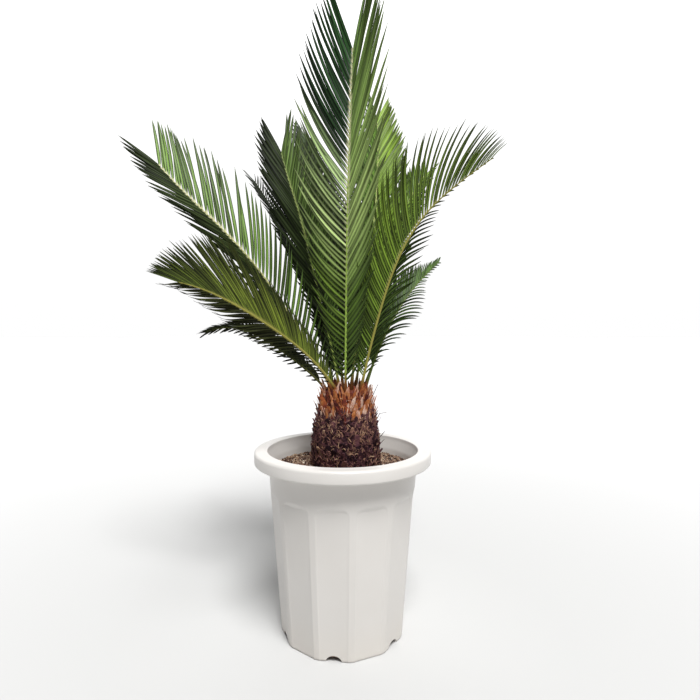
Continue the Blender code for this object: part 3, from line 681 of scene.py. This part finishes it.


# Each frond: the bearing it leans to and its lean in degrees, at even steps along the rib, the
# rib's length, its seat on the crown (bearing, distance), how far it is rolled about its rib, the
# bare share of the rib, the leaflets in a row and their spacing at its tip as a share of that at
# its foot, a blade's width, the colours of the rib and of the leaflets' heels, and the two rows.
# Darker rows, ribs, heels and stretches are painted shade where a frond lies in shade, paler stretches
# painted light and sheen
FRONDS = {
    "frond_centre": dict(
        bearing=(75, 75), lean=(1, 2, 3, 6, 8, 8), length=0.475, seat=(270, 0.010),
        roll=(-6, -24), bare=0.022, leaflets=62, crowd=1.15, blade=0.0052,
        rib="86A046", heel="DAD8AC", slot="fronds_green",
        left=row((0.026, 0.082, 0.132, 0.168, 0.119), (58, 52, 34, 21), (25, 25),
                 ((0.0, "324412"), (0.25, "566C26"), (0.45, "94A66C"), (0.56, "829664"),
                  (0.66, "223420"), (1.0, "264222")),
                 turn=(24, 24, 14, 4)),
        right=row((0.026, 0.082, 0.132, 0.168, 0.119), (56, 46, 30, 20), (25, 25),
                  ((0.0, "2E3E12"), (0.22, "465C22"), (0.45, "889C5C"), (0.65, "667C40"), (1.0, "4E682E")),
                  turn=(20, 16, 8, 4), tilt=12, slim=1.1, lines=0.6)),
    "frond_left_high": dict(
        bearing=(168, 168), lean=(27, 32, 36, 44, 47, 42), length=0.418, seat=(178, 0.019),
        roll=(-46, -50), bare=BARE, leaflets=66, crowd=0.85, blade=0.0045,
        rib="A5A568", heel="E0DCB4", slot="fronds_green",
        left=row((0.019, 0.083, 0.092, 0.078, 0.070), (46, 32, 30, 32, 18), (30, 24, 18),
                 ((0.0, "20280F"), (1.0, "2A341A")), turn=(2, 2), gloss=0.05, every=1.25, slim=1.05),
        right=row((0.030, 0.085, 0.120, 0.126, 0.076), (50, 38, 32, 34), (30, 24, 18),
                  ((0.0, "3C501C"), (0.5, "50682E"), (1.0, "5E7838")), slim=1.12, every=1.4, gloss=0.22)),
    "frond_left_mid": dict(
        bearing=(214, 214), lean=(34, 46, 56, 60, 66, 80), length=0.250, seat=(225, 0.018),
        roll=(45, 50), bare=BARE, leaflets=126, crowd=0.85, blade=0.0030,
        rib="8F8A42", heel="A09A52", slot="fronds_olive",
        left=row((0.014, 0.050, 0.114, 0.086, 0.036), (50, 36, 26, 10), (30, 30, 22),
                 ((0.0, "48541A"), (0.5, "5A661F"), (1.0, "505E24")), droop=0,
                 dark=(0.35, 0.8, 0.35), tilt=14),
        right=row((0.012, 0.052, 0.060, 0.048, 0.028), (50, 44, 34, 22), (20, 20, 10),
                  ((0.0, "262A15"), (1.0, "34371F")), droop=70, every=3, slim=1.35, gloss=0.08)),
    "frond_right_arching": dict(
        bearing=(338, 345), lean=(12, 15, 19, 31, 51, 58), length=0.352, seat=(340, 0.022),
        roll=(-45, -45, -20, 10), bare=BARE, leaflets=74, crowd=1.45, blade=0.0043,
        rib="8F8A45", heel="A8A568", slot="fronds_olive",
        left=row((0.024, 0.058, 0.052, 0.016, 0.007), (30, 28, 24, 12), (30, 30, 40),
                 ((0.0, "2B3814"), (1.0, "32421D")), droop=50, turn=(-20, -20), slim=0.9, every=2,
                 gloss=0.08),
        right=row((0.018, 0.080, 0.112, 0.098, 0.024), (52, 46, 44, 26), (35, 38, 50),
                  ((0.0, "42551A"), (0.5, "4E621D"), (1.0, "56692C")), droop=5, turn=(20, 26),
                  tilt=12, slim=0.9)),
    "frond_upper_left": dict(
        bearing=(130, 130), lean=(13, 22, 20, 22, 27, 23), length=0.388, seat=(165, 0.009),
        roll=(-35, -35), bare=BARE, leaflets=66, crowd=0.75, blade=0.0049,
        rib="90A050", heel="98A468", slot="fronds_green",
        left=row((0.016, 0.050, 0.114, 0.107, 0.076), (48, 30, 18), (30, 30, 25),
                 ((0.0, "19220D"), (1.0, "222B14")), gloss=0.05, slim=1.25, every=1.4, tilt=14),
        right=row((0.021, 0.092, 0.122, 0.110, 0.080), (48, 32, 26), (30, 30, 25),
                  ((0.0, "32441A"), (0.5, "445826"), (1.0, "4E622D")))),
    "frond_left_low": dict(
        bearing=(150, 150), lean=(47, 58, 62, 70, 89, 106), length=0.250, seat=(170, 0.028),
        roll=(-25, -32), bare=BARE, leaflets=58, crowd=1.01, blade=0.0043,
        rib="4C4F2A", heel="5E6238", slot="fronds_dark",
        left=row((0.010, 0.020, 0.020, 0.018, 0.023), (46, 40, 22), (-40, -35, -10),
                 ((0.0, "161909"), (1.0, "1B1F0E")), droop=20, slim=1.2, every=2.5, gloss=0.05),
        right=row((0.020, 0.040, 0.040, 0.034, 0.030), (34, 28, 16), (30, 38, 38),
                  ((0.0, "1C210D"), (1.0, "222812")), droop=30, slim=1.5, gloss=0.06, tilt=6)),
    "frond_right_low": dict(
        bearing=(42, 42), lean=(24, 30, 36, 44, 53, 56), length=0.254, seat=(15, 0.027),
        roll=(25, 25), bare=0.14, leaflets=70, crowd=1.01, blade=0.0040,
        rib="5C6A34", heel="6F7C48", slot="fronds_green",
        left=row((0.040, 0.064, 0.062, 0.038, 0.016), (36, 30, 18), (30, 30, 25),
                 ((0.0, "32441D"), (1.0, "415826")), droop=10),
        right=row((0.006, 0.042, 0.034, 0.012, 0.006), (34, 34, 24), (20, 20, 15),
                  ((0.0, "2C3A19"), (1.0, "395026")), droop=20, turn=(-40, -40), slim=1.15,
                  every=2.4, gloss=0.08)),
    "frond_back_right": dict(
        bearing=(45, 95), lean=(8, 15, 20, 22, 20, 18), length=0.445, seat=(50, 0.012),
        roll=(20, 20), bare=BARE, leaflets=76, crowd=0.8, blade=0.0050,
        rib="A9B060", heel="BFC584", slot="fronds_bright",
        left=row((0.040, 0.078, 0.100, 0.084, 0.050), (46, 34, 22), (30, 30, 25),
                 ((0.0, "36471B"), (0.5, "4B6626"), (1.0, "55712E"))),
        right=row((0.036, 0.078, 0.100, 0.084, 0.052), (46, 34, 28), (30, 30, 25),
                  ((0.0, "4E6622"), (0.5, "66802C"), (1.0, "748E36")), lines=0.6)),
    "frond_back_centre": dict(
        bearing=(108, 108), lean=(12, 18, 24, 30, 34, 36), length=0.462, seat=(105, 0.017),
        roll=(0, 0), bare=0.03, leaflets=76, crowd=0.8, blade=0.0054,
        rib="4E5A30", heel="56603C", slot="fronds_dark",
        left=row((0.048, 0.086, 0.105, 0.090, 0.058), (48, 36, 25), (24, 28, 24),
                 ((0.0, "1F2511"), (1.0, "2C3A1D"))),
        right=row((0.046, 0.082, 0.075, 0.038, 0.030), (48, 36, 25), (24, 28, 24),
                  ((0.0, "202711"), (1.0, "2C3A1B")))),
    "frond_right_back": dict(
        bearing=(50, 50), lean=(12, 20, 24, 30, 38, 46), length=0.392, seat=(55, 0.024),
        roll=(15, 15), bare=BARE, leaflets=66, crowd=0.8, blade=0.0050,
        rib="8C9650", heel="A8AE70", slot="fronds_bright",
        left=row((0.040, 0.062, 0.078, 0.068, 0.047), (48, 36, 25), (24, 24),
                 ((0.0, "3D5419"), (1.0, "5E7A2B"))),
        right=row((0.032, 0.059, 0.078, 0.060, 0.036), (48, 36, 25), (24, 24),
                  ((0.0, "456020"), (1.0, "698432")))),
    "frond_back_left": dict(
        bearing=(142, 142), lean=(12, 17, 24, 31, 37, 41), length=0.360, seat=(140, 0.022),
        roll=(0, 0), bare=0.03, leaflets=58, crowd=0.9, blade=0.0040,
        rib="4E5630", heel="5A6040", slot="fronds_dark",
        left=row((0.014, 0.026, 0.050, 0.046, 0.029), (48, 38, 30), (20, 20),
                 ((0.0, "1B200F"), (1.0, "222C16")), droop=10),
        right=row((0.034, 0.056, 0.057, 0.046, 0.029), (48, 38, 30), (20, 20),
                  ((0.0, "1C2210"), (1.0, "262E17")), droop=10)),
}

# How a leaflet may be bent, in degrees, or shortened to pass other fronds, least change first, how
# far it then stays off them, and how far apart two leaflets' roots can be and the two still meet
BENDS = (0, 5, -5, 10, -10, 18, -18)
KEEPS = (1.0, 0.85, 0.7, 0.55, 0.42, 0.3)
CLEARANCE = 0.0012
NEAR_ROOTS = 0.2


def along_curve(values, share):
    """A smooth curve through evenly spaced values, read at shares from 0 to 1 (Catmull-Rom)."""
    v = np.asarray(values, float)
    x = share * (len(v) - 1)
    i = np.clip(x.astype(int), 0, len(v) - 2)
    f = x - i
    p = np.concatenate([[2 * v[0] - v[1]], v, [2 * v[-1] - v[-2]]])
    a, b, c, d = p[i], p[i + 1], p[i + 2], p[i + 3]
    return 0.5 * (2 * b + (c - a) * f + (2 * a - 5 * b + 4 * c - d) * f ** 2
                  + (3 * b - a - 3 * c + d) * f ** 3)


def rib_frame(frond, shares):
    """Points on the rib and the directions along it, to its left row and out of its upper face.

    The rib starts on its seat and follows its lean and bearing; the frame is rolled about it.
    """
    fine = np.linspace(0, 1, 241)
    lean = np.radians(along_curve(frond["lean"], fine))
    bearing = np.radians(along_curve(frond["bearing"], fine))
    roll = np.radians(along_curve(frond["roll"], fine))[:, None]
    flat = np.zeros_like(fine)
    outward = np.stack([np.cos(bearing), np.sin(bearing), flat], 1)
    side = np.stack([-np.sin(bearing), np.cos(bearing), flat], 1)
    forward = np.sin(lean)[:, None] * outward + np.cos(lean)[:, None] * np.array((0, 0, 1.0))
    upper = np.cross(forward, side)
    c, s = np.cos(roll), np.sin(roll)
    side, upper = c * side + s * upper, c * upper - s * side
    step = frond["length"] / (len(fine) - 1)
    run = np.vstack([np.zeros(3), np.cumsum((forward[1:] + forward[:-1]) / 2 * step, axis=0)])
    turn, distance = math.radians(frond["seat"][0]), frond["seat"][1]
    seat = np.array((TRUNK_AXIS + distance * math.cos(turn), distance * math.sin(turn), CROWN_SEAT))

    def read(field):
        return np.stack([np.interp(shares, fine, field[:, k]) for k in range(3)], 1)

    return seat + read(run), read(forward), read(side), read(upper)


def leaflet_paths(frond, leaflets, sign, rng):
    """The leaflets of one row as curves, with the rib's direction and the shares at their roots.

    Each leaves the rib at its spread, folds up out of the rib's plane, and turns and droops as it
    goes. Their spacing changes evenly along the rib, to the frond's crowd times the first.
    """
    count = round(frond["leaflets"] / leaflets["every"])
    share = (np.arange(count) + 0.5 + rng.uniform(-0.15, 0.15, count)) / count
    share = (1 - frond["crowd"] ** share) / (1 - frond["crowd"])
    root, forward, side, upper = rib_frame(frond, frond["bare"] + (1 - frond["bare"]) * share)
    spread = along_curve(leaflets["spread"], share) + rng.normal(0, 1.4, count)
    fold = along_curve(leaflets["fold"], share) + rng.normal(0, 2.2, count)
    turn = along_curve(leaflets["turn"], share)
    droop = leaflets["droop"] + rng.normal(0, 2.5, count)
    reach = along_curve(leaflets["length"], share) * rng.normal(1, 0.025, count)
    middle = (np.arange(LEAFLET_RINGS - 1) + 0.5) / (LEAFLET_RINGS - 1)
    angle = np.radians(spread[:, None] - turn[:, None] * middle)[..., None]
    up = np.radians(fold[:, None] - 2 * droop[:, None] * middle)[..., None]
    outward = np.cos(up) * sign * side[:, None] + np.sin(up) * upper[:, None]
    ways = np.cos(angle) * forward[:, None] + np.sin(angle) * outward
    steps = ways * (reach / (LEAFLET_RINGS - 1))[:, None, None]
    path = np.concatenate([root[:, None], root[:, None] + np.cumsum(steps, 1)], 1)
    return path, forward, share


def nearest(p1, q1, p2, q2):
    """The smallest distances between the segment p1-q1 and the segments p2-q2."""
    d1, d2, gap = q1 - p1, q2 - p2, p1 - p2
    a, e = d1 @ d1, (d2 * d2).sum(-1) + 1e-12
    b, c, f = d2 @ d1, gap @ d1, (d2 * gap).sum(-1)
    across = a * e - b * b
    safe = np.where(across > 1e-12, across, 1)
    s = np.where(across > 1e-12, np.clip((b * f - c * e) / safe, 0, 1), 0)
    t = np.clip((b * s + f) / e, 0, 1)
    s = np.clip((b * t - c) / a, 0, 1)
    return np.linalg.norm(gap + d1 * s[..., None] - d2 * t[..., None], axis=-1)


def bent(path, along_rib, bend, keep):
    """A leaflet shortened to a share of its length, and turned out of its row towards its tip."""
    steps = np.diff(path, axis=0) * keep
    across = unit(np.cross(along_rib, steps))
    turn = math.radians(bend) * np.clip(np.linspace(-0.4, 1.6, len(steps)), 0, 1)[:, None]
    turned = steps * np.cos(turn) + across * np.linalg.norm(steps, axis=1, keepdims=True) * np.sin(turn)
    return np.concatenate([path[:1], path[:1] + np.cumsum(turned, 0)])


def fitted(path, along_rib, others):
    """The least changed leaflet whose two stretches clear the others, or else the most changed."""
    for keep in KEEPS:
        for bend in BENDS:
            trial = bent(path, along_rib, bend, keep)
            joints = (trial[0], trial[MIDDLE_RING], trial[-1])
            if all((nearest(joints[i], joints[i + 1], *others) > CLEARANCE).all() for i in (0, 1)):
                return trial
    return trial


def settle_fronds():
    """Every frond's leaflets, each bent or shortened where it would meet another frond."""
    rng = np.random.default_rng(17)
    shares = np.linspace(0, 1, 40)
    ribs = {name: rib_frame(frond, shares)[0] for name, frond in FRONDS.items()}
    taken = np.zeros((0, 2, 3))
    settled = {}
    for name, frond in FRONDS.items():
        stalks = np.concatenate([
            np.stack([rib[:-1], rib[1:]], 1) for other, rib in ribs.items() if other != name])
        rows, grown = [], []
        for side, sign in SIDES:
            paths, forward, share = leaflet_paths(frond, frond[side], sign, rng)
            for i in range(len(paths)):
                near = np.abs(taken[:, 0] - paths[i, 0]).max(1) < NEAR_ROOTS
                others = np.concatenate([stalks, taken[near]])
                paths[i] = fitted(paths[i], forward[i], (others[:, 0], others[:, 1]))
            grown += [paths[:, [0, MIDDLE_RING]], paths[:, [MIDDLE_RING, -1]]]
            rows.append((paths, forward, share))
        taken = np.concatenate([taken, *grown])
        settled[name] = rows
    return settled


LEAF_SECTION = np.array([(1, -0.35), (0.6, 0.55), (0, 1.0), (-0.6, 0.55), (-1, -0.35), (0, -0.6)])
rib_turn = full_turn(RIB_SIDES)
RIB_SECTION = np.stack([np.cos(rib_turn), np.sin(rib_turn)], 1)


def frond_mesh(frond, rows, rng):
    """The rib as a tapering tube, and both rows of leaflets, with where each point is on them.

    The first vector of a point is (share along its leaflet, across it, share along the rib), and
    the second (0 on the left row or 1 on the right, random tone, 1 on the rib).
    """
    shares = np.linspace(0, 1, RIB_RINGS)
    centre, forward, side, upper = rib_frame(frond, shares)
    knots = (0, frond["bare"], 1)
    halves = zip(STALK_HALF, RIB_HALF_START, RIB_HALF_END)
    wide, high = (np.interp(shares, knots, half) for half in halves)
    centre[0] -= forward[0] * RIB_SUNK
    parts = [carried(centre[None], -side[None], wide[None], high[None], RIB_SECTION)]
    where = [np.stack([0 * shares, 0 * shares, shares], 1).repeat(RIB_SIDES, 0)]
    kind = [np.tile((0.5, 0.5, 1.0), (RIB_RINGS * RIB_SIDES, 1))]
    for (row_name, sign), (paths, along_rib, share) in zip(SIDES, rows):
        leaflets = frond[row_name]
        count = len(paths)
        length = np.linalg.norm(np.diff(paths, axis=1), axis=-1).sum(1)
        way = unit(np.gradient(paths, axis=1))
        flat = unit(along_rib[:, None] - way * (way * along_rib[:, None]).sum(-1, keepdims=True))
        thin = np.cross(way, -sign * flat)
        tilt = math.radians(leaflets["tilt"]) * rng.uniform(0.2, 1.8, (count, 1, 1))
        broad = -sign * flat * np.cos(tilt) - sign * thin * np.sin(tilt)
        place = np.linspace(0, 1, LEAFLET_RINGS)
        half = frond["blade"] * leaflets["slim"] / 2 * np.interp(place, *zip(*OUTLINE))
        half = half * np.clip(length[:, None] / SHORT_LEAFLET, 0.55, 1)
        deep = LEAFLET_HALF_DEPTH * np.interp(place, *zip(*DEPTH)) + 0 * half
        parts.append(carried(paths, broad, half, deep, LEAF_SECTION))
        tone = rng.uniform(0, 1, (count, 1, 1))
        zero = np.zeros((count, LEAFLET_RINGS, len(LEAF_SECTION)))
        along = (zero + place[:, None], zero + LEAF_SECTION[:, 0], zero + share[:, None, None])
        where.append(np.stack(along, -1).reshape(-1, 3))
        kind.append(np.stack([zero + (sign < 0), zero + tone, zero], -1).reshape(-1, 3))
    return *join(parts), np.concatenate(where), np.concatenate(kind)


def leaf_finish(name, frond, leaflets):
    """A cycad leaflet: leathery, with a waxy skin that gives long soft highlights along it.

    A row's colour changes along the rib, its leaflets' a little; each is paler at its heel. Painted on
    it: shade and sheen in the row's colours, a highlight down each leaflet's middle, and shade
    towards its edges and its tip.
    """
    made, tree, shader = finish(name, IOR=1.45, Specular_IOR_Level=leaflets["gloss"])
    along, across, up_rib = split(tree, stored(tree, "where")["Vector"])
    _, chance, on_rib = split(tree, stored(tree, "kind")["Vector"])
    start, end, share = leaflets["dark"]
    # Painted shade: each leaflet darkens towards its tip over the row's dark span
    tip = mapped(tree, along, start, end, 1.0, share)
    # Painted highlight down the leaflet's middle and painted shade towards its edges
    edge = ramp(tree, [(place, 1 + (bright - 1) * leaflets["lines"]) for place, bright in ACROSS_BLADE],
                maths(tree, "ABSOLUTE", across))
    shade = maths(tree, "MULTIPLY", mapped(tree, chance, low=BRIGHTNESS[0], high=BRIGHTNESS[1]),
                  maths(tree, "MULTIPLY", tip, edge))
    # The row's colours along the rib, with painted shade and painted sheen in them
    varied = blend(tree, 1.0, ramp(tree, leaflets["tones"], up_rib), shade, "MULTIPLY")
    heel = maths(tree, "MULTIPLY", mapped(tree, along, 0.060, 0.01, high=0.9),
                 mapped(tree, up_rib, 0.2, 0.6, low=0.15))
    heeled = blend(tree, heel, varied, frond["heel"])
    rib = ramp(tree, ((0.0, "5A3218"), (0.02, "7A4E28"), (0.06, frond["rib"])), up_rib)
    grain = noise(tree, own_place(tree), 900.0, 2.0)
    feed(shader, Base_Color=blend(tree, on_rib, heeled, rib),
         Roughness=mapped(tree, grain, low=0.34, high=0.54))
    return made


settled = settle_fronds()
rng = np.random.default_rng(23)
for name, frond in FRONDS.items():
    points, faces, where, kind = frond_mesh(frond, settled[name], rng)
    leaf = name.replace("frond", "leaf")
    skins = [leaf_finish(leaf + "_" + side, frond, frond[side]) for side, _ in SIDES]
    piece = add_mesh(name + "_leaflets", points, faces, skins[0], sharp=55)
    piece.data.materials.append(skins[1])
    first = [face[0] for face in faces]
    piece.data.polygons.foreach_set("material_index", (kind[first, 0] > 0.9).astype(np.int32))
    set_points(piece, "where", "FLOAT_VECTOR", where)
    set_points(piece, "kind", "FLOAT_VECTOR", kind)
    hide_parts(name)
    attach(piece, "root")

# Stage. A plain floor, paler further out, and a white studio that is dimmer at the front left, with
# one broad lamp high at the front right, and the photograph's camera: level with the lower fronds,
# two degrees down, and close, so that the pot is seen from well above.

FLOOR_RADIUS = 40.0
FLOOR_SIDES = 96
turn = full_turn(FLOOR_SIDES)
pale, tree, shader = finish("pale_floor", Roughness=1.0, Specular_IOR_Level=0.0)
away = node(tree, "ShaderNodeVectorMath", {"operation": "LENGTH", 0: own_place(tree)}).outputs["Value"]
feed(shader, Base_Color=blend(tree, mapped(tree, away, 0.3, 1.6), "C4C4C3", "DADADA"))
floor = add_mesh("floor", np.stack([FLOOR_RADIUS * np.cos(turn), FLOOR_RADIUS * np.sin(turn), 0 * turn], 1),
                 [list(range(FLOOR_SIDES))], pale)

# The way to the dimmer side, and how much brighter than the sides the studio is overhead
DIM_SIDE = (-0.80, -0.60, 0.0)
OVERHEAD = 1.7
world = bpy.data.worlds.new("studio")
bpy.context.scene.world = world
world.use_nodes = True
tree = world.node_tree
way = node(tree, "ShaderNodeTexCoord").outputs["Generated"]
dim = node(tree, "ShaderNodeVectorMath", {"operation": "DOT_PRODUCT", 0: way, 1: DIM_SIDE}).outputs["Value"]
sides = ramp(tree, ((0.0, "727272"), (0.5, "5C5C5D"), (0.85, "343435")), dim, "EASE")
_, inward, up = split(tree, way)
back = ramp(tree, ((0.5, "000000"), (0.69, "FFFFFF")), inward, "EASE")
strength = maths(tree, "MULTIPLY_ADD", maths(tree, "POWER", up, 2.0), OVERHEAD, 1.0)
feed(tree.nodes["Background"], Color=blend(tree, 1.0, sides, back, "LIGHTEN"), Strength=strength)

lamp = bpy.data.lights.new("key", "SUN")
lamp.energy = 4.2
lamp.angle = math.radians(24)
key = bpy.data.objects.new("key", lamp)
key.rotation_euler = (math.radians(29), 0, math.radians(18))
bpy.context.scene.collection.objects.link(key)

CAMERA_PLACE = (0.010, -0.681, 0.406)
CAMERA_DOWN = math.radians(2.0)
LENS_PIXELS = 498
FRAME_PIXELS = 700
SENSOR = 36.0
view = bpy.data.cameras.new("camera")
view.sensor_width = SENSOR
view.lens = SENSOR * LENS_PIXELS / FRAME_PIXELS
view.clip_start = 0.01
view.clip_end = 100
camera = bpy.data.objects.new("camera", view)
camera.location = CAMERA_PLACE
camera.rotation_euler = (math.radians(90) - CAMERA_DOWN, 0, 0)
bpy.context.scene.collection.objects.link(camera)
bpy.context.scene.camera = camera
bpy.context.scene.view_settings.view_transform = "Standard"
